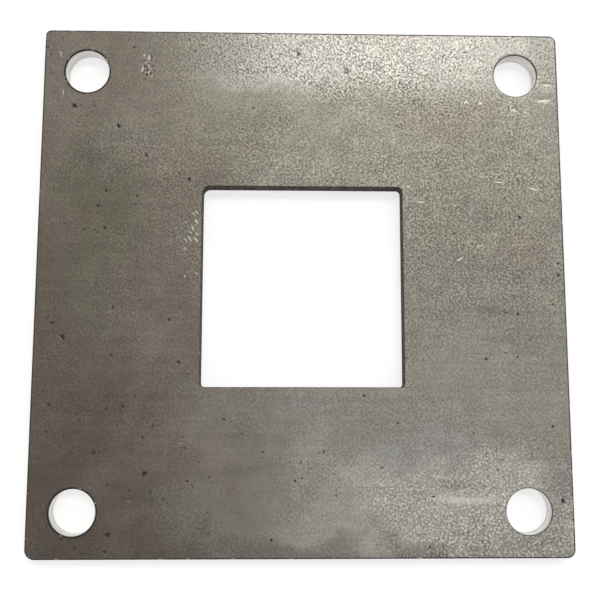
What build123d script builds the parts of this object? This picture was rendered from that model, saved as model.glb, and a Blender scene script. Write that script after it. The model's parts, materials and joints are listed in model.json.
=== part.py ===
from build123d import *

import os

# Square steel cover plate. It is one flat blank of hot-rolled plate, cut through
# with a square opening that a square tube passes, and with a bolt hole in each
# corner. The plate lies flat on its lower face: the origin is the middle of that
# face, +Z points up through the thickness, and the sides run along X and Y.
# Lengths are in millimetres.

# Blank
plate_side = 152.4  # 6 in
plate_thickness = 4.7625  # 3/16 in stock
plate_corner_radius = 2.4  # each outer corner is cut round

# Tube opening
tube_side = 57.15  # 2 1/4 in square tube
tube_clearance = 0.4  # gap beside the tube, on each side
opening_corner_radius = 1.2  # the tightest corner that the cut leaves

# Bolt holes
bolt_hole_diameter = 12.7  # 1/2 in
bolt_edge_distance = 12.7  # from a hole's centre to the two sides beside it

# Every edge is dressed, top and bottom, so that none is sharp
edge_break_radius = 0.3

opening_side = tube_side + 2 * tube_clearance
bolt_spacing = plate_side - 2 * bolt_edge_distance

with BuildPart() as cover_plate:
    with BuildSketch() as blank:
        Rectangle(plate_side, plate_side)
        fillet(blank.vertices(), plate_corner_radius)
    extrude(amount=plate_thickness)

    with BuildSketch() as tube_opening:
        Rectangle(opening_side, opening_side)
        fillet(tube_opening.vertices(), opening_corner_radius)
    extrude(amount=plate_thickness, mode=Mode.SUBTRACT)

    with BuildSketch() as bolt_holes:
        with GridLocations(bolt_spacing, bolt_spacing, 2, 2):
            Circle(bolt_hole_diameter / 2)
    extrude(amount=plate_thickness, mode=Mode.SUBTRACT)

    flat_faces = cover_plate.faces().filter_by(Axis.Z)
    fillet(flat_faces.edges(), edge_break_radius)

cover_plate.part.label = "cover_plate"

os.makedirs("parts", exist_ok=True)
export_step(cover_plate.part, "parts/cover_plate.step")
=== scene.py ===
import json
import math
import random

import bpy
import numpy as np
from bpy.props import FloatProperty, FloatVectorProperty, IntProperty, PointerProperty
from mathutils import Euler, Matrix, Vector
from mathutils.geometry import delaunay_2d_cdt


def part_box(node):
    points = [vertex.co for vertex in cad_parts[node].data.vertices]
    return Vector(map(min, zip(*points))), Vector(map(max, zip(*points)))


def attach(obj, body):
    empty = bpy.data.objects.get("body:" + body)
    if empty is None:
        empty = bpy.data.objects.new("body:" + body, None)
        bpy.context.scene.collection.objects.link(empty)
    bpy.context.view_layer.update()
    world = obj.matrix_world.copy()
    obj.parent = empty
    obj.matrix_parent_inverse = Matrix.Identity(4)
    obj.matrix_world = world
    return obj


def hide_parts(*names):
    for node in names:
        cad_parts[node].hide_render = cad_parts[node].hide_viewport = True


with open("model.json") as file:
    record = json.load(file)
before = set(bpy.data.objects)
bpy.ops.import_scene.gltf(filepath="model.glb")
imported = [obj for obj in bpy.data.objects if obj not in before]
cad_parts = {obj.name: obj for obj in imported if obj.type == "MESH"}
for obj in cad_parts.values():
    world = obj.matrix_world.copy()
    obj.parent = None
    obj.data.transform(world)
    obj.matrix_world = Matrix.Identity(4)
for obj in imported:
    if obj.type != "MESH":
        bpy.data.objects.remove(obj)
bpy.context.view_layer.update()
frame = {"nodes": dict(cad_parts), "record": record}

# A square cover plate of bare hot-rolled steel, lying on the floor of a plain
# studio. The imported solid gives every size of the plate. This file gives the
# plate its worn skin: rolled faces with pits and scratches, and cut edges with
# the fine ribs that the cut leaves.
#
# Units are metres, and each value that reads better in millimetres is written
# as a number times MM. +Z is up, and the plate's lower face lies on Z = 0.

bl_info = {
    "name": "Square cover plate",
    "version": (1, 0, 0),
    "blender": (4, 5, 0),
    "location": "View3D > Sidebar > Cover plate",
    "description": "A hot-rolled square cover plate on a studio floor",
    "category": "Add Mesh",
}

MM = 0.001
# What every colour property has
RGB = {"size": 3, "min": 0.0, "max": 1.0}
PLATE = "cover_plate"
RECORD = frame["record"]

# Marks on the upper face, seen from above, in millimetres from the middle of the plate.
# A pit is (x, y, radius). A scratch runs from (x, y) to (x, y) and is so many times as wide
# as usual.
PITS = [
    (-67, 53, 0.9), (-54, 47, 0.7), (-55, 49, 0.4), (-50, 71, 0.35), (-33, 31, 0.6),
    (-57, 27.5, 0.45), (-48, 26, 0.4), (-59, 23, 0.5), (-57, 16.5, 0.5), (-63, 16, 0.35),
    (-65, 6, 0.35), (-46, 63.5, 0.45), (13, 64, 0.35), (42, 69.5, 0.3), (74.3, 3.3, 0.5),
    (74.2, 6.8, 0.4), (-68, -15, 0.75), (-71, -11, 0.4), (-54, -6.5, 0.4), (-38, -10, 0.4),
    (-54, -20, 0.4), (-71, -34, 0.45), (-55, -35, 0.4), (-50.5, -34.5, 0.55), (-42, -40, 0.35),
    (-33.5, -43, 0.3), (-33, -46, 0.4), (-44, -53, 0.75), (-43.5, -54.5, 0.35), (-54, -56, 0.4),
    (-32, -55, 0.35), (-72, -38, 0.3), (-71.5, -41.5, 0.35), (-54.3, -74, 0.6), (-39.5, -74.6, 0.5),
    (-2, -55, 0.35), (-22, -38, 0.35), (-8.5, -71, 0.45), (-11, -47, 0.3), (6, -47, 0.35),
    (52.5, -21, 0.4), (73, -60.5, 0.6), (27, -39, 0.35), (17.5, -31.5, 0.35), (71, -40, 0.45),
    (62, -8, 0.4), (61.5, -20.5, 0.3), (35.5, -73, 0.4), (-35, -22, 0.5), (-33.9, -22, 0.4),
    (-30.5, -22.3, 0.4), (-48, -57.5, 0.3), (-42, -58, 0.3), (-38.5, -60, 0.3),
]
SCRATCHES = [
    (-45.5, 67.3, -45.6, 68.5, 2.2), (-47, 68.2, -46.9, 69, 1.3), (-47.2, 65.9, -47, 67.3, 1.4),
    (-47.5, 63.5, -47.2, 65.1, 1.6), (-45.5, 64.9, -45.4, 65.8, 1.2), (-45.6, 63, -45.4, 63.8, 1.3),
    (-31, 21.7, -30.2, 20.8, 1.1), (-31.8, 21.2, -31.2, 20.3, 0.8), (-31, 19, -30.2, 18, 1.5),
    (-33.8, 18.6, -33.4, 18.2, 0.9), (-32, 17.4, -31.4, 15.8, 1.1), (-32.5, 15.5, -32, 15, 1),
    (-30.7, 15.2, -30.1, 14.4, 1.1), (-33.2, 14.3, -32, 12.8, 1.1), (-31.3, 13.8, -30.1, 12.6, 1.5),
    (-34.1, 13.6, -33.4, 12.8, 0.8), (-34, 10.9, -33.5, 10.3, 0.8), (-30.5, 3.6, -30.2, 3.1, 1.2),
    (-33.9, 2.8, -33.5, 2.3, 0.9), (71.3, 60.6, 74.2, 60.8, 1.6), (69.7, 55.7, 73.9, 56.1, 1.8),
    (44.8, 7.4, 46.6, 8.4, 1.6), (46.6, 8.6, 50, 11.3, 1.2), (50.6, 11.6, 52.8, 12.1, 0.8),
    (33.8, 24.7, 35.8, 24.9, 1.3), (30.4, 29.5, 31.4, 29.3, 1.3), (66.3, 29.4, 69.4, 28.4, 1.3),
    (56.3, 31, 59.4, 30.7, 1.2), (44.3, 24.1, 44.6, 23.5, 1.2), (46, -11.3, 46.4, -11.2, 1),
    (73.8, -30.4, 74.1, -30.3, 1.6), (34, -48.2, 34.4, -48.8, 1), (58, 65.5, 62, 64.8, 1),
    (-69.4, 59.8, -69, 58.8, 0.9), (-70.5, 57.8, -70.3, 56.2, 0.8),
    (-71.5, 69.6, -71.3, 67.8, 0.8), (64, -72.5, 66, -71, 1),
    (66, 52.6, 67.2, 51.6, 0.9), (62.6, 53.3, 63.8, 52.4, 0.8),
]
# Thin dark lines, as (x, y) to (x, y)
LINES = [
    (-63, -74.3, -56, -74.4), (-2, -57, 57, -56.4), (46, -19.4, 62, -19.3), (56, -30, 66, -29.9),
    (30, 44.6, 64, 44.2), (50, -6.2, 57, -6), (-40, -60.2, -35.5, -60.5),
]

# Patches of another tone: (colour, share, centre, reach), in millimetres. Some are painted light: the
# wide worn patch at (-25, 66) is partly a painted highlight along the lamp's reflection, the pale patch
# at (66, 48) is a painted highlight, and the brown patch at (73, 71) is painted shade.
TONES = [
    # The first patch here is worn scale and partly a painted highlight along the lamp's reflection
    ("worn", 0.35, (-25, 66), (65, 46)), ("dark", 0.22, (52, 2), (46, 30)),
    ("brown", 0.55, (-56, -76), (46, 70)), ("brown", 0.25, (-52, -66), (10, 13)),
    ("pale", 0.8, (62, -66), (66, 34)), ("pale", 0.3, (14, -64), (26, 13)),
    ("grey", 0.35, (8, -52), (74, 42)), ("grey", 0.3, (62, -45), (30, 18)),
    ("pale", 0.45, (38, -58), (58, 22)), ("pale", 0.3, (32, -68), (16, 8)),
    ("pale", 0.25, (50, -62), (30, 16)), ("dark", 0.45, (8, -78), (64, 12)),
    ("bright", 0.4, (47, -60.4), (13, 1.8)), ("bright", 0.05, (22, -56), (16, 2)),
    ("dark", 0.25, (43, -56), (8, 2)), ("worn", 0.25, (-76, 60), (20, 50)),
    ("pale", 0.05, (-14, 34), (26, 9)), ("pale", 0.12, (8, 44), (36, 18)),
    # The pale patch at (66, 48) is a painted highlight where the lamp's reflection reaches lower
    ("pale", 0.15, (66, 48), (16, 9)), ("pale", 0.2, (-12, 61), (22, 4)),
    ("pale", 0.15, (56, -1), (15, 3)), ("pale", 0.3, (19, -72), (8, 5)),
    ("olive", 0.2, (-58, 20), (26, 42)), ("cool", 0.35, (60, -29), (22, 12)),
    ("cool", 0.3, (28, -47), (9, 6)), ("dark", 0.15, (-49, -15), (12, 9)),
    ("brown", 0.15, (71, -56), (6, 10)), ("brown", 0.12, (56, -72), (18, 4)),
    ("pink", 0.30, (43, 52), (16, 7)), ("pink", 0.22, (63, 13), (12, 9)),
    ("pink", 0.25, (-34, 38), (8, 18)), ("pink", 0.22, (34, -13), (6, 15)),
    # The brown patch at (73, 71) is painted shade where the lamp's reflection fades at the back right
    # corner
    ("pink", 0.15, (-36, -50), (26, 14)), ("brown", 0.35, (73, 71), (9, 12)),
    ("dark", 0.7, (-75, -75), (9, 8)), ("dark", 0.25, (-58, 37), (8, 4)),
    ("dark", 0.3, (70, -70), (14, 9)), ("cool", 0.25, (0, -34), (26, 10)),
    ("cool", 0.3, (34, -43), (28, 9)), ("cool", 0.1, (0, -58), (26, 18)),
    ("brown", 0.12, (-42, 2), (16, 30)), ("dark", 0.2, (73, -58), (5, 11)),
    ("dark", 0.12, (-18, 73), (12, 6)), ("pale", 0.15, (-5, 60), (10, 6)),
    ("pale", 0.1, (26, -54), (12, 6)), ("pale", 0.1, (17, -70), (8, 8)),
    ("brown", 0.15, (-62, -66), (12, 12)), ("pale", 0.06, (-34, -66), (20, 12)),
    ("dark", 0.06, (72, -16), (10, 10)), ("pale", 0.12, (34, -44), (28, 10)),
    ("pale", 0.12, (66, 38), (14, 8)), ("dark", 0.08, (35, 18), (9, 9)),
    ("dark", 0.1, (2, 32), (12, 4)), ("brown", 0.1, (-34, 20), (10, 14)),
    ("brown", 0.15, (-60, -62), (10, 8)), ("pale", 0.07, (46, -1), (16, 10)),
    ("pale", 0.08, (17, -74), (9, 5)), ("pale", 0.12, (73, -73), (6, 5)),
    ("dark", 0.12, (8, -60), (9, 1.5)), ("dark", 0.1, (-16, 74), (9, 5)),
    ("dark", 0.12, (41, -40), (5, 5)), ("brown", 0.2, (-62, -75), (16, 5)),
    ("dark", 0.25, (55, -7.5), (9, 1.5)), ("dark", 0.18, (57, -16), (8, 1.2)),
]

# Patches of smoother and rougher grain: (times the usual contrast, centre, reach)
GRAIN = [
    (0.6, (-8, 52), (30, 13)), (0.5, (72, 66), (34, 22)), (0.6, (66, -56), (12, 14)),
    (0.9, (56, 12), (40, 24)), (1.3, (60, 30), (14, 4)), (1.3, (24, 69), (64, 13)),
    (0.85, (24, 44), (50, 12)), (1.4, (62, 53), (8, 3)), (3.5, (-46.3, 66), (3, 6)),
    (0.75, (74, -10), (6, 18)), (0.75, (74, 38), (8, 10)), (0.8, (-14, 62), (14, 7)),
    (0.5, (62, 74), (26, 10)), (0.35, (-62, -60), (26, 20)), (0.6, (-20, -52), (24, 26)),
    (0.8, (8, -66), (20, 14)), (1.4, (-48, 36), (26, 22)), (0.65, (-22, 60), (14, 6)),
    (1.2, (36, -40), (22, 9)), (0.4, (46, -60.5), (13, 2.5)),
]

# How far the borders of the worn areas stray, in millimetres
DRIFT = 60.0
# Grains per millimetre, and how each neighbour of a grain, so many millimetres away, evens it
GRAIN_SCALE = 1.8
NEIGHBOUR_AWAY = 0.6
NEIGHBOUR_SHARE = 0.16

# Widths of the dark rims along the cut edges and round the drilled holes on a face, and how dark they
# are. The left holes, which come first, have darker rims.
CUT_RIM = 0.2 * MM
DRILLED_RIM = 0.4 * MM
SIDE_DARKNESS = 0.8
OPENING_DARKNESS = 0.1
HOLE_DARKNESS = (1.0, 0.9, 0.15, 0.15)
# Rounding of each corner as a share of the solid's, from the back right one on. Handling and
# the cut have made it uneven.
SIDE_CORNERS = (0.9, 0.7, 1.2, 1.0)
OPENING_CORNERS = (1.0, 1.6, 0.85, 0.65)
# Rows of points down a cut wall, down a drilled one and round the break of an edge
CUT_ROWS = 5
DRILLED_ROWS = 2
ROUND_STEPS = 3
# How much coarser the lower face's net is
LOWER_STEP = 1.6

PIT_SPOKES = 11
# Share of the pit's radius, share of its depth and amount of rust, from the middle out
PIT_RINGS = [(0.4, 0.95, 1.0), (0.8, 0.6, 0.95), (1.1, 0.12, 0.4), (1.6, 0.0, 0.0)]
# Least and greatest reach of a spoke, as a share of the pit's radius
RAGGED = (0.65, 1.3)
# Steel that a pit leaves between itself and an edge, and the radius of the smallest
# scattered pit
PIT_MARGIN = 0.2 * MM
LEAST_PIT = 0.16 * MM
SCRATCH_DEPTH = 0.02 * MM
# How early in its swell a scratch starts, and the width of the fine ones
SCRATCH_END = 0.12
FINE = 0.7
# Scattered pits for each scattered scratch
PITS_PER_SCRATCH = 5

# A triangle along a straight rim that is smaller than this has no area, in square metres
LEAST_AREA = 1e-11
# Points that lie closer together than this are one point
SAME_PLACE = 0.0001 * MM
# How far the floor lies below the plate
FLOOR_GAP = 0.02 * MM

QUARTER_TURN = math.pi / 2


class CoverPlateSettings(bpy.types.PropertyGroup):
    """Marks and finish of the plate."""

    cut_step: FloatProperty(
        name="Cut step", description="Distance between points along a cut edge",
        default=0.38 * MM, min=0.1 * MM, unit="LENGTH",
    )
    face_step: FloatProperty(
        name="Face step", description="Distance between points on the faces",
        default=1.1 * MM, min=0.3 * MM, unit="LENGTH",
    )
    small_pits: IntProperty(
        name="Small pits", description="Scattered pits on each face", default=150, min=0,
    )
    pit_depth: FloatProperty(
        name="Pit depth", description="Depth of a pit as a share of its radius",
        default=0.35, min=0.0, subtype="FACTOR",
    )
    scratch_width: FloatProperty(
        name="Scratch width", description="Width of a scratch",
        default=0.28 * MM, unit="LENGTH",
    )
    rib_pitch: FloatProperty(
        name="Rib pitch", description="Distance between the ribs on a cut edge",
        default=1.1 * MM, unit="LENGTH",
    )
    rib_depth: FloatProperty(
        name="Rib depth", description="Depth of the ribs on a cut edge",
        default=0.09 * MM, unit="LENGTH",
    )
    wave_length: FloatProperty(
        name="Wave length", description="Length of the waves that rolling leaves",
        default=14 * MM, unit="LENGTH",
    )
    wave_height: FloatProperty(
        name="Wave height", description="Height of the waves that rolling leaves",
        default=0.03 * MM, unit="LENGTH",
    )
    seed: IntProperty(name="Seed", description="Picks the scattered marks", default=7)
    # The scale colour and the worn colour are blended from the left of the plate to the right: partly
    # the scale's own tone, partly painted shade at the left and painted glare at the right
    scale_colour: FloatVectorProperty(
        name="Scale colour", description="Tight mill scale on the left of the plate",
        default=(0.124, 0.097, 0.072), subtype="COLOR", **RGB,
    )
    worn_colour: FloatVectorProperty(
        name="Worn colour", description="Worn steel on the right of the plate",
        default=(0.290, 0.269, 0.226), subtype="COLOR", **RGB,
    )
    pale_colour: FloatVectorProperty(
        name="Pale colour", description="Rubbed steel at the front right corner",
        default=(0.45, 0.435, 0.395), subtype="COLOR", **RGB,
    )
    brown_colour: FloatVectorProperty(
        name="Brown colour", description="Brown scale at the front left of the plate",
        default=(0.070, 0.050, 0.034), subtype="COLOR", **RGB,
    )
    pink_colour: FloatVectorProperty(
        name="Pink colour", description="Cast of the pink patches",
        default=(0.27, 0.21, 0.18), subtype="COLOR", **RGB,
    )
    grey_colour: FloatVectorProperty(
        name="Grey colour", description="Smooth blue-grey skin at the front",
        default=(0.200, 0.192, 0.182), subtype="COLOR", **RGB,
    )
    olive_colour: FloatVectorProperty(
        name="Olive colour", description="Cast of the tight scale at the left",
        default=(0.110, 0.125, 0.075), subtype="COLOR", **RGB,
    )
    cool_colour: FloatVectorProperty(
        name="Cool colour", description="Cast of the bluish patches at the front right",
        default=(0.27, 0.27, 0.275), subtype="COLOR", **RGB,
    )
    dark_colour: FloatVectorProperty(
        name="Dark colour", description="Dull patches and smudges",
        default=(0.085, 0.075, 0.062), subtype="COLOR", **RGB,
    )
    # The cut colour is the dark oxide of a cut edge, made darker still as painted shade of the opening's
    # walls
    cut_colour: FloatVectorProperty(
        name="Cut colour", description="Dark oxide on the cut edges",
        default=(0.020, 0.018, 0.016), subtype="COLOR", **RGB,
    )
    rib_colour: FloatVectorProperty(
        name="Rib colour", description="Lighter metal on the ribs of a cut edge",
        default=(0.145, 0.132, 0.115), subtype="COLOR", **RGB,
    )
    drilled_colour: FloatVectorProperty(
        name="Drilled colour", description="Clean steel in the bolt holes",
        default=(0.76, 0.74, 0.70), subtype="COLOR", **RGB,
    )
    ring_colour: FloatVectorProperty(
        name="Ring colour", description="Duller rings that the drill leaves in the bolt holes",
        default=(0.40, 0.38, 0.35), subtype="COLOR", **RGB,
    )
    rust_colour: FloatVectorProperty(
        name="Rust colour", description="Bottom of a pit",
        default=(0.030, 0.020, 0.014), subtype="COLOR", **RGB,
    )
    bright_colour: FloatVectorProperty(
        name="Bright colour", description="Clean steel in a scratch",
        default=(0.85, 0.82, 0.75), subtype="COLOR", **RGB,
    )


class StudioSettings(bpy.types.PropertyGroup):
    """Floor, lamps and camera."""

    floor_size: FloatProperty(
        name="Floor size", description="Side of the square floor",
        default=12.0, unit="LENGTH",
    )
    floor_colour: FloatVectorProperty(
        name="Floor colour", description="Pale painted floor",
        default=(0.40, 0.40, 0.40), subtype="COLOR", **RGB,
    )
    wall_light: FloatProperty(
        name="Wall light", description="Brightness of the white walls", default=1.0, min=0.0,
    )
    front_light: FloatProperty(
        name="Front light", description="Share of the light that the front wall gives",
        default=0.7, min=0.0,
    )
    ceiling_light: FloatProperty(
        name="Ceiling light", description="Brightness of the grey ceiling", default=0.45, min=0.0,
    )
    lamp_light: FloatProperty(
        name="Lamp light", description="Brightness of the strip lamp", default=10.7, min=0.0,
    )
    lamp_colour: FloatVectorProperty(
        name="Lamp colour", description="Cast of the strip lamp",
        default=(1.0, 0.985, 0.93), subtype="COLOR", **RGB,
    )
    lens: FloatProperty(
        name="Lens", description="Focal length of the camera in millimetres", default=46.07,
    )
    camera_place: FloatVectorProperty(
        name="Camera place", description="Where the camera stands over the plate's upper face",
        default=(-5.85 * MM, -30.29 * MM, 218.37 * MM), size=3, subtype="XYZ", unit="LENGTH",
    )
    camera_aim: FloatVectorProperty(
        name="Camera aim", description="Point of the upper face in the middle of the view",
        default=(-0.69 * MM, -4.21 * MM, 0.0), size=3, subtype="XYZ", unit="LENGTH",
    )
    camera_roll: FloatProperty(
        name="Camera roll", description="Turn of the camera about its own axis",
        default=math.radians(0.08), subtype="ANGLE",
    )


def plate_sizes():
    """Reads the plate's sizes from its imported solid."""
    low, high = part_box(PLATE)
    points = np.array([v.co for v in frame["nodes"][PLATE].data.vertices])
    near = 0.001 * MM
    from_middle = np.abs(points[:, :2]).max(axis=1)
    upper = points[points[:, 2] > high.z - near]
    edge_break = high.x - upper[:, 0].max()
    on_wall = (points[:, 2] > low.z + edge_break - near) & (points[:, 2] < high.z - edge_break + near)

    def straight_end(half):
        """How far the straight part of a side reaches from its middle."""
        side = on_wall & (np.abs(points[:, 0] - half) < near)
        return np.abs(points[side, 1]).max()

    bolts = next(m for m in RECORD["mounts"] if m["kind"] == "bolt_pattern")
    bolt_half_x = bolts["dims"]["spacing_x_mm"] * MM / 2
    bolt_half_y = bolts["dims"]["spacing_y_mm"] * MM / 2
    bolt_radius = bolts["dims"]["hole_r_mm"] * MM
    inside_bolts = on_wall & (from_middle < bolt_half_x - bolt_radius - edge_break)
    opening_half = from_middle[inside_bolts].max()
    return {
        "half": high.x,
        "corner": high.x - straight_end(high.x),
        "foot": low.z,
        "top": high.z,
        "edge_break": edge_break,
        "opening_half": opening_half,
        "opening_corner": opening_half - straight_end(opening_half),
        "bolt_radius": bolt_radius,
        "bolt_places": [(sx * bolt_half_x, sy * bolt_half_y) for sx in (-1, 1) for sy in (-1, 1)],
    }


SIZES = plate_sizes()

# Outlines. Each is (points, normals, distance along), with the steel on the left
# hand of its direction and the normals pointing out of the steel.


def rounded_square(half, corner_radii, step):
    """Walks round a square anticlockwise. The corners are listed from the back right one on."""
    points, normals = [], []
    for turn, radius in enumerate(corner_radii):
        last_radius = corner_radii[turn - 1]
        angle = turn * QUARTER_TURN
        out = np.array([math.cos(angle), math.sin(angle)])
        on = np.array([-math.sin(angle), math.cos(angle)])
        start, end = last_radius - half, half - radius
        for place in np.linspace(start, end, max(1, round((end - start) / step)), endpoint=False):
            points.append(out * half + on * place)
            normals.append(out)
        centre = (out + on) * (half - radius)
        arc_steps = max(6, round(radius * QUARTER_TURN / step))
        for swing in np.linspace(0, QUARTER_TURN, arc_steps, endpoint=False):
            normal = out * math.cos(swing) + on * math.sin(swing)
            points.append(centre + normal * radius)
            normals.append(normal)
    return outline(points, normals)


def circle(centre, radius, step):
    """Walks round a circle anticlockwise."""
    count = round(math.tau * radius / step)
    angles = np.linspace(0, math.tau, count, endpoint=False)
    normals = np.stack([np.cos(angles), np.sin(angles)], axis=1)
    return outline(np.array(centre) + normals * radius, normals)


def outline(points, normals):
    """Adds the distance along to a closed line of points."""
    points, normals = np.array(points), np.array(normals)
    steps = np.linalg.norm(np.roll(points, -1, axis=0) - points, axis=1)
    return points, normals, np.concatenate([[0], np.cumsum(steps)[:-1]])


def as_hole(line):
    """The same outline, walked clockwise with its normals pointing into the hole."""
    points, normals, along = line
    return points[::-1], -normals[::-1], along[::-1]


def square_distance(points, half, radius):
    """Distance of points outside a rounded square, negative inside it."""
    beyond = np.abs(points) - (half - radius)
    outside = np.linalg.norm(np.maximum(beyond, 0), axis=1)
    return outside + np.minimum(beyond.max(axis=1), 0) - radius


def inset_into_steel(points):
    """How far inside the flat part of a face each point lies, negative off the face."""
    s = SIZES
    from_sides = -square_distance(points, s["half"], s["corner"])
    from_opening = square_distance(points, s["opening_half"], s["opening_corner"])
    inset = np.minimum(from_sides, from_opening) - CUT_RIM
    for place in s["bolt_places"]:
        from_hole = np.linalg.norm(points - np.array(place), axis=1) - s["bolt_radius"]
        inset = np.minimum(inset, from_hole - DRILLED_RIM)
    return inset - s["edge_break"]


# Marks. Each gives rows of (x, y, depth, rust, bright) for the points of a face.


def pit(x, y, radius, depth, chance):
    """A hollow with a ragged edge."""
    rows = [(x, y, depth, 1.0, 0.0)]
    reach = [chance.uniform(*RAGGED) for _ in range(PIT_SPOKES)]
    first_angle, slim = chance.uniform(0, math.tau), chance.uniform(0.55, 1.0)
    lean = chance.uniform(0, math.pi)
    for share, sunk, rust in PIT_RINGS:
        for spoke in range(PIT_SPOKES):
            angle = first_angle + spoke * math.tau / PIT_SPOKES
            ragged = share * radius * reach[spoke]
            long, short = ragged * math.cos(angle), ragged * math.sin(angle) * slim
            px = x + long * math.cos(lean) - short * math.sin(lean)
            py = y + long * math.sin(lean) + short * math.cos(lean)
            rows.append((px, py, depth * sunk, rust, 0.0))
    return rows


def scratch(start, end, width, shine):
    """A shallow groove with so much shine, or a dark stain where it has none. Its ends thin out."""
    start, end = np.array(start), np.array(end)
    length = np.linalg.norm(end - start)
    direction = (end - start) / length
    side = np.array([-direction[1], direction[0]])
    steps = max(3, round(length / width))
    rows = []
    for step in range(steps + 1):
        share = step / steps
        middle = start + (end - start) * share
        full = math.sin(math.pi * (SCRATCH_END + (1 - 2 * SCRATCH_END) * share))
        finish = (SCRATCH_DEPTH * full, 0.0, shine * full) if shine > 0 else (0.0, 0.5 * full, 0.0)
        rows.append((*middle, *finish))
        for hand in (-1, 1):
            rows.append((*(middle + side * hand * width * 0.7), 0.0, 0.0, 0.0))
    for tip, hand in ((start, -1), (end, 1)):
        rows.append((*(tip + direction * hand * width), 0.0, 0.0, 0.0))
    return rows


class FaceMarks:
    """Collects the marks of one face and the circles that they keep to themselves."""

    def __init__(self):
        self.rows = []
        self.taken = []

    def is_free(self, x, y, radius):
        """Whether no mark has taken any of the circle."""
        return all(math.hypot(x - a, y - b) > radius + r for a, b, r in self.taken)

    def add_pit(self, x, y, radius, settings, chance):
        """Adds a pit, if there is room for it."""
        reach = radius * PIT_RINGS[-1][0] * RAGGED[1]
        inside = inset_into_steel(np.array([[x, y]]))[0]
        if inside < reach + PIT_MARGIN or not self.is_free(x, y, reach):
            return
        self.rows += pit(x, y, radius, radius * settings.pit_depth, chance)
        self.taken.append((x, y, reach))

    def add_scratch(self, start, end, width, shine=1.0):
        """Adds a scratch, if there is room for the circles strung along it."""
        beads = max(2, round(math.dist(start, end) / width))
        reach = 1.2 * width
        circles = []
        for bead in range(beads + 1):
            x = start[0] + (end[0] - start[0]) * bead / beads
            y = start[1] + (end[1] - start[1]) * bead / beads
            circles.append((x, y, reach))
        places = np.array([c[:2] for c in circles])
        if inset_into_steel(places).min() < reach or not all(self.is_free(*c) for c in circles):
            return
        self.rows += scratch(start, end, width, shine)
        self.taken += circles


def upper_marks(settings):
    """The upper face's own marks, and small ones scattered thickest at the left."""
    marks = FaceMarks()
    chance = random.Random(settings.seed)
    for x0, y0, x1, y1, wide in SCRATCHES:
        marks.add_scratch((x0 * MM, y0 * MM), (x1 * MM, y1 * MM), settings.scratch_width * wide)
    for x, y, radius in PITS:
        marks.add_pit(x * MM, y * MM, radius * MM, settings, chance)
    for x0, y0, x1, y1 in LINES:
        marks.add_scratch((x0 * MM, y0 * MM), (x1 * MM, y1 * MM), settings.scratch_width * FINE, 0.0)
    scatter_marks(marks, settings, chance, lean=0.9)
    return marks


def lower_marks(settings):
    """The lower face's marks, scattered evenly."""
    marks = FaceMarks()
    chance = random.Random(settings.seed + 1)
    scatter_marks(marks, settings, chance, lean=0.0)
    return marks


def scatter_marks(marks, settings, chance, lean):
    """Adds small pits and short scratches. A lean of 1 keeps the right side bare of pits."""
    half = SIZES["half"]
    for _ in range(settings.small_pits):
        x, y = chance.uniform(-half, half), chance.uniform(-half, half)
        kept = (1 - lean * (x + half) / (2 * half)) ** 2
        radius = LEAST_PIT + chance.expovariate(10) * MM
        if chance.random() < kept:
            marks.add_pit(x, y, radius, settings, chance)
    for _ in range(settings.small_pits // PITS_PER_SCRATCH):
        x, y = chance.uniform(-half, half), chance.uniform(-half, half)
        angle = chance.gauss(0, 0.5)
        length = chance.uniform(0.5, 1.6) * MM
        end = (x + length * math.cos(angle), y + length * math.sin(angle))
        marks.add_scratch((x, y), end, settings.scratch_width * FINE, chance.uniform(0.1, 0.5))


# The plate's mesh


def edge_section(rim, darkness, rows):
    """(inset, height, cut share, wall share) down the edge, from the top face's rim to the foot's."""
    edge_break, top, foot = SIZES["edge_break"], SIZES["top"], SIZES["foot"]
    section = [(edge_break + rim, top, 0.0, 0.0)]
    for step in range(ROUND_STEPS + 1):
        share = step / ROUND_STEPS
        angle = share * QUARTER_TURN
        inset = edge_break * (1 - math.sin(angle))
        height = top - edge_break * (1 - math.cos(angle))
        section.append((inset, height, darkness + (1 - darkness) * share, share))
    wall_top, wall_foot = top - edge_break, foot + edge_break
    for step in range(1, rows):
        section.append((0.0, wall_top + (wall_foot - wall_top) * step / rows, 1.0, 1.0))
    for inset, height, cut, wall in section[ROUND_STEPS + 1::-1]:
        section.append((inset, top + foot - height, cut, wall))
    return section


# Per point: distance along its edge, dark oxide of a cut, cut wall, drilled wall, depth of a
# mark, rust in it and bright metal in it
ATTRIBUTES = ("along", "cut", "wall", "drilled", "dent", "rust", "bright")


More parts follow.
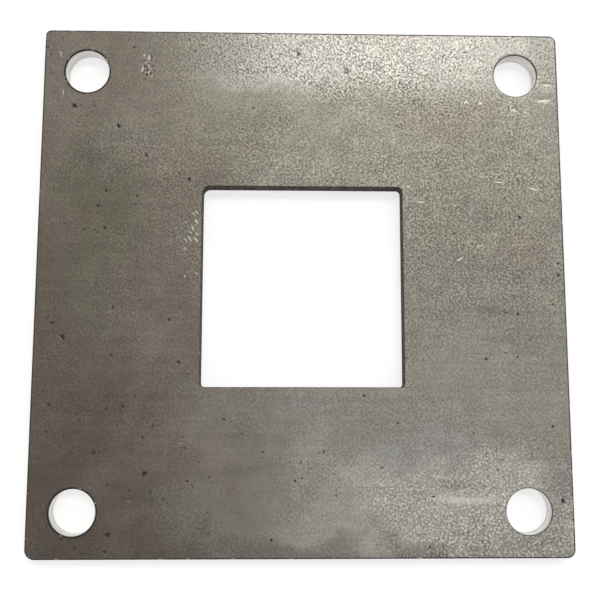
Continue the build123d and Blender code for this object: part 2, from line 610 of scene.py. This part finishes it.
class PlateMesh:
    """Gathers the points and triangles of the plate."""

    def __init__(self):
        self.points = []
        self.faces = []
        self.values = {name: [] for name in ATTRIBUTES}

    def add_points(self, points, **values):
        """Adds points and returns the number of the first. Values are per point, and 0 if left out."""
        first = len(self.points)
        self.points += [tuple(p) for p in points]
        for name, column in self.values.items():
            column += list(values.get(name, [0.0] * len(points)))
        return first

    def add_wall(self, line, section, is_drilled=False):
        """Sweeps the section round an outline. Returns the numbers of its top and foot points."""
        points, normals, along = line
        count = len(points)
        firsts = []
        for inset, height, cut, wall in section:
            row = np.column_stack([points - normals * inset, np.full(count, height)])
            drilled = float(is_drilled and wall == 1.0)
            shares = {"cut": cut - drilled, "wall": wall - drilled, "drilled": drilled}
            columns = {name: [share] * count for name, share in shares.items()}
            firsts.append(self.add_points(row, along=along, **columns))
        for upper, lower in zip(firsts, firsts[1:]):
            for i in range(count):
                j = (i + 1) % count
                self.faces.append((upper + i, lower + i, lower + j))
                self.faces.append((upper + i, lower + j, upper + j))
        return range(firsts[0], firsts[0] + count), range(firsts[-1], firsts[-1] + count)

    def add_face(self, rims, height, marks, step, is_upper):
        """Fills a face between its rims, the outer one first, with a fine net round its marks."""
        rim_numbers = [n for rim in rims for n in rim]
        rim_points = np.array([self.points[n][:2] for n in rim_numbers])
        net = face_net(step, marks.taken)
        flat = np.concatenate([net, np.array([row[:2] for row in marks.rows]).reshape(-1, 2)])
        blank = [0.0] * len(net)
        first = self.add_points(
            np.column_stack([flat, np.full(len(flat), height)]),
            dent=blank + [row[2] for row in marks.rows],
            rust=blank + [row[3] for row in marks.rows],
            bright=blank + [row[4] for row in marks.rows],
        )
        numbers = rim_numbers + list(range(first, first + len(flat)))
        edges, start = [], 0
        rim_of = np.full(len(numbers), -1)
        for number, rim in enumerate(rims):
            count = len(rim)
            edges += [(start + i, start + (i + 1) % count) for i in range(count)]
            rim_of[start:start + count] = number
            start += count
        places = np.concatenate([rim_points, flat])
        found = delaunay_2d_cdt([Vector(p) for p in places], edges, [], 0, SAME_PLACE)
        corner_numbers = np.array([origin[0] for origin in found[3]])[np.array(found[2])]
        stands_on = rim_of[corner_numbers]
        on_one_rim = (stands_on >= 0) & (stands_on == stands_on[:, :1])
        p, q, r = np.moveaxis(places[corner_numbers], 1, 0)
        area = np.abs(np.cross(q - p, r - p)) / 2
        # A triangle that stands on one hole's rim alone would cover the hole
        is_left_out = on_one_rim.all(axis=1) & ((stands_on[:, 0] > 0) | (area < LEAST_AREA))
        for corner in corner_numbers[~is_left_out]:
            a, b, c = [numbers[i] for i in corner]
            self.faces.append((a, b, c) if is_upper else (a, c, b))

    def make(self, name):
        """The Blender object of the mesh."""
        mesh = bpy.data.meshes.new(name)
        mesh.from_pydata(self.points, [], self.faces)
        for key, column in self.values.items():
            attribute = mesh.attributes.new(key, "FLOAT", "POINT")
            attribute.data.foreach_set("value", np.array(column, np.float32))
        mesh.shade_smooth()
        return show(bpy.data.objects.new(name, mesh))


def face_net(step, taken):
    """Points of a triangular net on the face, clear of its rims and of the marks' circles."""
    half = SIZES["half"]
    rows = int(2 * half / (step * math.sqrt(3) / 2))
    net = []
    for row in range(rows + 1):
        xs = np.arange(-half + step / 2 * (row % 2), half, step)
        net.append(np.column_stack([xs, np.full(len(xs), -half + row * step * math.sqrt(3) / 2)]))
    net = np.concatenate(net)
    net = net[inset_into_steel(net) > 0.45 * step]
    for x, y, radius in taken:
        net = net[np.hypot(net[:, 0] - x, net[:, 1] - y) > radius + 0.3 * step]
    return net


def show(obj):
    """Puts an object in the scene."""
    bpy.context.scene.collection.objects.link(obj)
    return obj


# Node trees


class Wiring:
    """Adds nodes to a tree and joins them."""

    def __init__(self, tree):
        self.tree = tree

    def node(self, kind, inputs=None, **options):
        """Adds a node. Each input, by name or number, is a value or another node's output."""
        made = self.tree.nodes.new(kind)
        for option, value in options.items():
            setattr(made, option, value)
        self.feed(made, inputs or {})
        return made

    def feed(self, node, inputs):
        """Gives a node its inputs."""
        for key, value in inputs.items():
            if isinstance(value, bpy.types.NodeSocket):
                self.tree.links.new(value, node.inputs[key])
            else:
                node.inputs[key].default_value = value

    def math(self, operation, a, b=0.0, clamp=False):
        """A sum, product or other operation on two values."""
        return self.node("ShaderNodeMath", {0: a, 1: b}, operation=operation, use_clamp=clamp).outputs[0]

    def times(self, *values):
        """Multiplies the values."""
        product = values[0]
        for value in values[1:]:
            product = self.math("MULTIPLY", product, value)
        return product

    def invert(self, value):
        """1 minus the value."""
        return self.math("SUBTRACT", 1.0, value)

    def vector(self, operation, a, b=(0, 0, 0)):
        """The same for vectors, part by part."""
        return self.node("ShaderNodeVectorMath", {0: a, 1: b}, operation=operation).outputs[0]

    def stretch(self, place, scale, location=(0, 0, 0)):
        inputs = {"Vector": place, "Scale": scale, "Location": location}
        return self.node("ShaderNodeMapping", inputs).outputs[0]

    def noise(self, place, scale, detail=2.0, roughness=0.5, output="Fac"):
        inputs = {"Vector": place, "Scale": scale, "Detail": detail, "Roughness": roughness}
        return self.node("ShaderNodeTexNoise", inputs).outputs[output]

    def ramp(self, value, low, high, to_low=0.0, to_high=1.0):
        """Eases from to_low, below low, to to_high, above high."""
        inputs = {"Value": value, "From Min": low, "From Max": high, "To Min": to_low, "To Max": to_high}
        return self.node("ShaderNodeMapRange", inputs, interpolation_type="SMOOTHSTEP").outputs[0]

    def bump(self, height, strength, distance):
        """A normal tilted by the slope of a height."""
        inputs = {"Strength": strength, "Distance": distance, "Height": height}
        return self.node("ShaderNodeBump", inputs).outputs[0]

    def blend(self, share, a, b, blend_type="MIX"):
        """Mixes two colours."""
        inputs = {0: share, 6: a, 7: b}
        return self.node("ShaderNodeMix", inputs, data_type="RGBA", blend_type=blend_type).outputs[2]


# Settings that shape the relief
RELIEF = ("Rib pitch", "Rib depth", "Wave length", "Wave height")


def relief_tree():
    """Geometry nodes that sink a plate's marks, ribs and waves into its surface."""
    tree = bpy.data.node_groups.new("rolled_and_cut_relief", "GeometryNodeTree")
    tree.is_modifier = True
    w = Wiring(tree)
    lengths = [(name, "Float") for name in RELIEF]
    for name, kind in (("Plate", "Geometry"), *lengths, ("Seed", "Int"), ("Steel", "Material")):
        tree.interface.new_socket(name, in_out="INPUT", socket_type="NodeSocket" + kind)
    tree.interface.new_socket("Plate", in_out="OUTPUT", socket_type="NodeSocketGeometry")
    given = w.node("NodeGroupInput").outputs

    def attribute(name):
        return w.node("GeometryNodeInputNamedAttribute", {"Name": name}, data_type="FLOAT").outputs[0]

    place = w.node("GeometryNodeInputPosition").outputs[0]
    height = w.node("ShaderNodeSeparateXYZ", {0: place}).outputs[2]
    # Ribs run down the wall and trail off to one side as the cut slows
    along = w.math("DIVIDE", attribute("along"), given["Rib pitch"])
    down = w.math("DIVIDE", height, given["Rib pitch"])
    trail = w.times(down, down, 0.04)
    rib_place = w.node(
        "ShaderNodeCombineXYZ",
        {0: w.math("ADD", along, trail), 1: w.times(down, 0.12), 2: given["Seed"]},
    ).outputs[0]
    ribs = w.times(w.noise(rib_place, 1.0, 3.0, 0.6), given["Rib depth"])
    ribs = w.times(ribs, attribute("wall"))
    # Waves of the rolled faces
    wave_place = w.vector("DIVIDE", place, given["Wave length"])
    waves = w.times(w.noise(wave_place, 1.0, 1.0), given["Wave height"])
    flat = w.invert(w.math("ADD", attribute("wall"), attribute("drilled")))
    waves = w.times(waves, flat)
    sunk = w.math("ADD", w.math("ADD", ribs, waves), attribute("dent"))
    inwards = w.times(sunk, -1.0)
    normal = w.node("GeometryNodeInputNormal").outputs[0]
    offset = w.node("ShaderNodeVectorMath", {0: normal, "Scale": inwards}, operation="SCALE").outputs[0]
    moved = w.node("GeometryNodeSetPosition", {"Geometry": given["Plate"], "Offset": offset}).outputs[0]
    real = w.node("GeometryNodeRealizeInstances", {0: moved}).outputs[0]
    steel = w.node("GeometryNodeSetMaterial", {"Geometry": real, "Material": given["Steel"]}).outputs[0]
    w.node("NodeGroupOutput", {0: steel})
    return tree


def apply_tree(obj, tree, values):
    """Runs a geometry node tree on an object and keeps the result as its plain mesh."""
    modifier = obj.modifiers.new(tree.name, "NODES")
    modifier.node_group = tree
    for item in tree.interface.items_tree:
        if item.in_out == "INPUT" and item.name in values:
            modifier[item.identifier] = values[item.name]
    evaluated = obj.evaluated_get(bpy.context.evaluated_depsgraph_get())
    plain = bpy.data.meshes.new_from_object(evaluated)
    obj.modifiers.remove(modifier)
    obj.data = plain
    return obj


def new_material(name):
    """An empty material, with its wiring and its Principled shader."""
    material = bpy.data.materials.new(name)
    material.use_nodes = True
    tree = material.node_tree
    return material, Wiring(tree), tree.nodes["Principled BSDF"]


def hot_rolled_steel(settings):
    """Mill scale that is tight and brown at the left, and worn to grey grain at the right. The darker
    left and lighter right are partly the scale's own tone and partly painted shade and painted glare.
    """
    material, w, steel = new_material("hot_rolled_steel")
    place = w.node("ShaderNodeTexCoord").outputs["Object"]
    mm = w.vector("MULTIPLY", place, (1 / MM,) * 3)
    drift = w.vector("SUBTRACT", w.noise(mm, 0.045, 3.0, output="Color"), (0.5,) * 3)
    drifted = w.vector("ADD", mm, w.vector("MULTIPLY", drift, (DRIFT,) * 3))
    x, y, _ = w.node("ShaderNodeSeparateXYZ", {0: drifted}).outputs

    def attribute(name):
        return w.node("ShaderNodeAttribute", attribute_name=name).outputs["Fac"]

    def colour(name):
        """A colour of the settings, as nodes take it."""
        return (*getattr(settings, name + "_colour"), 1)

    def grey(value):
        return w.node("ShaderNodeCombineColor", {0: value, 1: value, 2: value}).outputs[0]

    def patch(centre, reach):
        """1 in the middle of an oval patch, falling to 0 at its reach. A small patch drifts less."""
        drifts = min(DRIFT, 4.0 * min(reach))
        moved = w.vector("ADD", mm, w.vector("MULTIPLY", drift, (drifts,) * 3))
        offset = w.vector("SUBTRACT", moved, (*centre, 0))
        oval = w.vector("DIVIDE", offset, (*reach, 1e6))
        distance = w.node("ShaderNodeVectorMath", {0: oval}, operation="LENGTH").outputs["Value"]
        return w.ramp(distance, 0.3, 1.0, 1.0, 0.0)

    # Where the scale is worn: the back and right, and the front right corner
    worn = w.times(w.ramp(x, -62.0, 0.0), w.ramp(y, -35.0, 15.0))
    worn = w.math("MAXIMUM", worn, w.times(patch((85, -85), (85, 62)), 1.2))
    # From the scale colour at the left to the worn colour at the right: partly the scale's tone, partly
    # painted shade at the left and painted glare at the right
    pale = w.ramp(x, -78.0, 28.0)
    # Grain of the rolled skin, with a pit where the grain is deepest
    turn = Euler((0.6, 0.4, 0.9))
    turned = w.node("ShaderNodeMapping", {"Vector": mm, "Rotation": turn}).outputs[0]
    grain = w.noise(turned, GRAIN_SCALE, 1.6)
    # The grain is evened out by what lies round it, so that it doesn't clump
    for side in range(3):
        angle = side * math.tau / 3
        shift = turn.to_matrix() @ Vector((math.cos(angle), math.sin(angle), 0)) * NEIGHBOUR_AWAY
        beside = w.noise(w.vector("ADD", turned, shift), GRAIN_SCALE, 1.0)
        grain = w.math("SUBTRACT", grain, w.times(w.math("SUBTRACT", beside, 0.5), NEIGHBOUR_SHARE))
    # Round pits and a finer tooth break it up
    dots = w.node("ShaderNodeTexVoronoi", {"Vector": turned, "Scale": 1.05}).outputs["Distance"]
    fine = w.noise(turned, 2.6, 1.0)
    for part, share in ((dots, 0.22), (fine, 0.35)):
        grain = w.math("ADD", grain, w.times(w.math("SUBTRACT", part, 0.5), share))
    speck = w.ramp(grain, 0.34, 0.54, 1.0, 0.0)
    # Glint lightens the raised grain: partly lighter grain, partly painted glints
    glint = w.ramp(grain, 0.52, 0.70)
    streaks = w.noise(w.stretch(mm, (0.03, 0.6, 0.6)), 1.0, 3.0, 0.6)
    clouds = w.noise(turned, 0.22, 3.0, 0.6)

    # This left-to-right blend carries painted shade at the left and painted glare at the right, besides
    # the scale's own tone
    skin = w.blend(pale, colour("scale"), colour("worn"))
    for name, share, centre, reach in TONES:
        skin = w.blend(w.times(patch(centre, reach), share), skin, colour(name))
    skin = w.blend(0.18, skin, grey(streaks), "OVERLAY")
    even = w.invert(w.times(patch((-5, -70), (60, 16)), 0.6))
    cloudy = w.times(w.ramp(worn, 0.0, 1.0, 0.20, 0.28), even)
    skin = w.blend(cloudy, skin, grey(clouds), "OVERLAY")
    # How strongly the grain shows. It is stronger at the back and right partly as painted glare, where
    # the lamp's reflection would make the grain glint
    contrast = w.ramp(worn, 0.0, 1.0, 0.21, 0.48)
    contrast = w.times(contrast, w.ramp(w.noise(turned, 0.09, 2.0), 0.3, 0.7, 0.85, 1.1))
    for times, centre, reach in GRAIN:
        change = w.times(patch(centre, reach), times - 1)
        contrast = w.times(contrast, w.math("ADD", 1.0, change))
    # At the front right corner the dark specks are fainter, and the grain's raised tops carry painted
    # glints in the bright colour
    glinting_corner = patch((52, -66), (46, 26))
    painted_glints = w.times(w.ramp(grain, 0.55, 0.70), glinting_corner, 0.16)
    skin = w.blend(painted_glints, skin, colour("bright"))
    sunk = w.times(speck, w.invert(w.times(glinting_corner, 0.2)))
    dark = w.invert(w.times(sunk, contrast))
    # Rare deep specks, which also stand in clusters where the scale is tight
    holes = w.ramp(w.noise(turned, 1.15, 1.0, 0.4), 0.24, 0.31, 0.85, 0.0)
    clusters = w.ramp(w.noise(turned, 0.055, 2.0), 0.47, 0.60)
    holes = w.times(holes, w.math("MAXIMUM", contrast, clusters))
    dark = w.times(dark, w.invert(holes))
    light = w.math("ADD", dark, w.times(glint, contrast))
    # The sunk grain is a little browner than the raised grain
    bluer = w.math("ADD", light, w.times(w.math("SUBTRACT", light, 1.0), 0.12))
    shade = w.node("ShaderNodeCombineColor", {0: light, 1: light, 2: bluer}).outputs[0]
    skin = w.blend(1.0, skin, shade, "MULTIPLY")

    cut, wall, drilled = attribute("cut"), attribute("wall"), attribute("drilled")
    # Cut walls carry drag lines that run down them, and lighter metal on their ribs
    height = w.node("ShaderNodeSeparateXYZ", {0: mm}).outputs[2]
    along = w.math("DIVIDE", attribute("along"), MM)
    drag = w.math("ADD", along, w.times(height, height, 0.06))
    drag_place = w.node("ShaderNodeCombineXYZ", {0: drag, 1: w.times(height, 0.12)}).outputs[0]
    drag_lines = w.noise(drag_place, 1.6, 2.0, 0.6)
    ribs = w.times(w.ramp(drag_lines, 0.35, 0.75), wall)
    # The dark cut colour is oxide and partly painted shade of the walls
    oxide = w.blend(ribs, colour("cut"), colour("rib"))
    skin = w.blend(w.ramp(cut, 0.0, 0.5), skin, oxide)
    rubbed = w.times(w.ramp(w.noise(turned, 0.5, 2.0), 0.60, 0.70), w.ramp(cut, 0.1, 0.4))
    rubbed = w.times(rubbed, w.ramp(wall, 0.1, 0.9, 1.0, 0.0))
    skin = w.blend(rubbed, skin, colour("worn"))
    # The drill's feed leaves fine rings on a drilled wall
    rings = w.noise(w.stretch(mm, (0.15, 0.15, 4.5)), 1.0, 2.0, 0.6)
    clean = w.blend(w.ramp(rings, 0.35, 0.65), colour("ring"), colour("drilled"))
    skin = w.blend(w.ramp(drilled, 0.3, 0.8), skin, clean)
    skin = w.blend(attribute("rust"), skin, colour("rust"))
    skin = w.blend(attribute("bright"), skin, colour("bright"))

    bumps = w.node("ShaderNodeMix", {0: drilled, 2: grain, 3: w.times(rings, 0.3)}).outputs[0]
    strength = w.math("MULTIPLY", contrast, 1.6, clamp=True)
    bump = w.bump(bumps, strength, 0.08 * MM)
    gloss_bump = w.bump(bumps, strength, 0.004 * MM)

    matt = w.math("MAXIMUM", attribute("rust"), w.ramp(cut, 0.0, 0.5))
    metal = w.math("SUBTRACT", 0.5, w.times(matt, 0.5))
    metal = w.math("MAXIMUM", metal, drilled)
    rough = w.ramp(matt, 0.0, 1.0, 0.55, 0.9)
    rough = w.math("MINIMUM", rough, w.ramp(drilled, 0.0, 1.0, 1.0, 0.3))
    # The tight scale has a thin gloss, which the specks break
    broken = w.math("MAXIMUM", w.times(speck, w.ramp(worn, 0.0, 1.0, 0.3, 0.8)), holes)
    flat = w.invert(broken)
    gloss = w.times(w.times(flat, w.invert(matt)), w.invert(cut))
    w.feed(steel, {
        "Base Color": skin, "Metallic": metal, "Roughness": rough, "Normal": bump,
        "Coat Weight": gloss, "Coat Roughness": 0.09, "Coat Normal": gloss_bump,
    })
    return material


class OBJECT_OT_cover_plate(bpy.types.Operator):
    """Make the plate: rolled faces, cut edges, pits and scratches"""

    bl_idname = "object.cover_plate"
    bl_label = "Cover plate"

    def execute(self, context):
        settings = context.scene.cover_plate
        s = SIZES
        side_corners = [s["corner"] * share for share in SIDE_CORNERS]
        sides = rounded_square(s["half"], side_corners, settings.cut_step)
        opening_corners = [s["opening_corner"] * share for share in OPENING_CORNERS]
        opening = rounded_square(s["opening_half"], opening_corners, settings.cut_step)
        holes = [circle(place, s["bolt_radius"], settings.cut_step) for place in s["bolt_places"]]
        plate = PlateMesh()
        rims = [
            plate.add_wall(sides, edge_section(CUT_RIM, SIDE_DARKNESS, CUT_ROWS)),
            plate.add_wall(as_hole(opening), edge_section(CUT_RIM, OPENING_DARKNESS, CUT_ROWS)),
        ]
        for hole, darkness in zip(holes, HOLE_DARKNESS):
            section = edge_section(DRILLED_RIM, darkness, DRILLED_ROWS)
            rims.append(plate.add_wall(as_hole(hole), section, is_drilled=True))
        upper_rims, lower_rims = zip(*rims)
        plate.add_face(upper_rims, s["top"], upper_marks(settings), settings.face_step, is_upper=True)
        lower_step = settings.face_step * LOWER_STEP
        plate.add_face(lower_rims, s["foot"], lower_marks(settings), lower_step, is_upper=False)
        obj = plate.make("rolled_plate")
        values = {name: getattr(settings, name.lower().replace(" ", "_")) for name in RELIEF}
        steel = hot_rolled_steel(settings)
        apply_tree(obj, relief_tree(), {**values, "Seed": settings.seed, "Steel": steel})
        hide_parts(PLATE)
        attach(obj, "root")
        return {"FINISHED"}


# Studio


def seen_directly(w):
    """1 for rays from the camera, and for those by way of a gloss or through glass."""
    rays = w.node("ShaderNodeLightPath").outputs
    bounced = w.math("MAXIMUM", rays["Is Glossy Ray"], rays["Is Transmission Ray"])
    return w.math("MAXIMUM", rays["Is Camera Ray"], bounced)


def floor_paint(settings):
    """Matt white paint that looks plain white where no shadow falls."""
    material, w, paint = new_material("floor_paint")
    w.feed(paint, {
        "Base Color": (*settings.floor_colour, 1), "Roughness": 0.9, "Specular IOR Level": 0.0,
        "Emission Color": (1, 1, 1, 1), "Emission Strength": w.times(seen_directly(w), 0.7),
    })
    return material


def studio_world(settings):
    """White walls below a grey ceiling, with a strip lamp in the ceiling behind the plate."""
    world = bpy.data.worlds.new("studio")
    world.use_nodes = True
    w = Wiring(world.node_tree)
    background = world.node_tree.nodes["Background"]
    direction = w.node("ShaderNodeTexCoord").outputs["Generated"]
    right, back, rise = w.node("ShaderNodeSeparateXYZ", {0: direction}).outputs
    wall_top, ceiling_edge = math.sin(math.radians(24)), math.sin(math.radians(48))
    room = w.ramp(rise, wall_top, ceiling_edge, settings.wall_light, settings.ceiling_light)
    room = w.times(room, w.ramp(back, -0.9, 0.2, settings.front_light, 1.0))
    # Where a ray meets a ceiling that hangs one unit over the plate
    up = w.math("MAXIMUM", rise, 0.01)
    across, away = w.math("DIVIDE", right, up), w.math("DIVIDE", back, up)
    near_edge, far_edge = w.ramp(away, 0.40, 0.425), w.ramp(away, 0.70, 0.80, 1.0, 0.0)
    left_edge, dimmer = w.ramp(across, -0.17, 0.045), w.ramp(across, 0.23, 0.45, 1.0, 0.42)
    right_edge = w.ramp(across, 0.8, 1.0, 1.0, 0.0)
    lamp = w.times(settings.lamp_light, near_edge, far_edge, left_edge, dimmer, right_edge)
    light = w.math("ADD", room, lamp)
    # The room looks white below the ceiling
    white = w.times(seen_directly(w), w.ramp(rise, wall_top, ceiling_edge, 1.0, 0.0))
    in_lamp = w.math("MINIMUM", lamp, 1.0)
    colour = w.blend(in_lamp, (1, 1, 1, 1), (*settings.lamp_colour, 1))
    w.feed(background, {"Strength": w.math("MAXIMUM", light, white), "Color": colour})
    return world


def studio_camera(settings):
    """A camera that looks down on the plate."""
    camera = bpy.data.cameras.new("camera")
    camera.lens = settings.lens
    camera.sensor_width = 36
    camera.clip_start = 0.01
    obj = show(bpy.data.objects.new("camera", camera))
    on_face = Vector((0, 0, SIZES["top"]))
    place = Vector(settings.camera_place) + on_face
    ahead = (Vector(settings.camera_aim) + on_face - place).normalized()
    right = ahead.cross(Vector((0, 1, 0))).normalized()
    level = Matrix((right, right.cross(ahead), -ahead)).transposed().to_4x4()
    obj.matrix_world = Matrix.Translation(place) @ level @ Matrix.Rotation(settings.camera_roll, 4, "Z")
    return obj


class OBJECT_OT_studio(bpy.types.Operator):
    """Make the floor, the lamps and the camera"""

    bl_idname = "object.plate_studio"
    bl_label = "Studio"

    def execute(self, context):
        settings = context.scene.plate_studio
        half = settings.floor_size / 2
        mesh = bpy.data.meshes.new("floor")
        corners = [(-half, -half, 0), (half, -half, 0), (half, half, 0), (-half, half, 0)]
        mesh.from_pydata(corners, [], [(0, 1, 2, 3)])
        floor = show(bpy.data.objects.new("floor", mesh))
        floor.location.z = SIZES["foot"] - FLOOR_GAP
        mesh.materials.append(floor_paint(settings))
        context.scene.world = studio_world(settings)
        context.scene.camera = studio_camera(settings)
        context.scene.view_settings.view_transform = "Standard"
        return {"FINISHED"}


class VIEW3D_PT_cover_plate(bpy.types.Panel):
    """Lists the pieces of the plate's scene"""

    bl_idname = "VIEW3D_PT_cover_plate"
    bl_label = "Cover plate"
    bl_space_type = "VIEW_3D"
    bl_region_type = "UI"
    bl_category = "Cover plate"

    def draw(self, context):
        layout = self.layout
        for settings, operator in (
            (context.scene.cover_plate, OBJECT_OT_cover_plate),
            (context.scene.plate_studio, OBJECT_OT_studio),
        ):
            box = layout.box()
            for name in settings.__annotations__:
                box.prop(settings, name)
            box.operator(operator.bl_idname)


CLASSES = (
    CoverPlateSettings,
    StudioSettings,
    OBJECT_OT_cover_plate,
    OBJECT_OT_studio,
    VIEW3D_PT_cover_plate,
)


def register():
    for cls in CLASSES:
        bpy.utils.register_class(cls)
    bpy.types.Scene.cover_plate = PointerProperty(type=CoverPlateSettings)
    bpy.types.Scene.plate_studio = PointerProperty(type=StudioSettings)


def unregister():
    del bpy.types.Scene.plate_studio
    del bpy.types.Scene.cover_plate
    for cls in reversed(CLASSES):
        bpy.utils.unregister_class(cls)


def main():
    register()
    bpy.ops.object.cover_plate()
    bpy.ops.object.plate_studio()


if __name__ == "__main__":
    main()
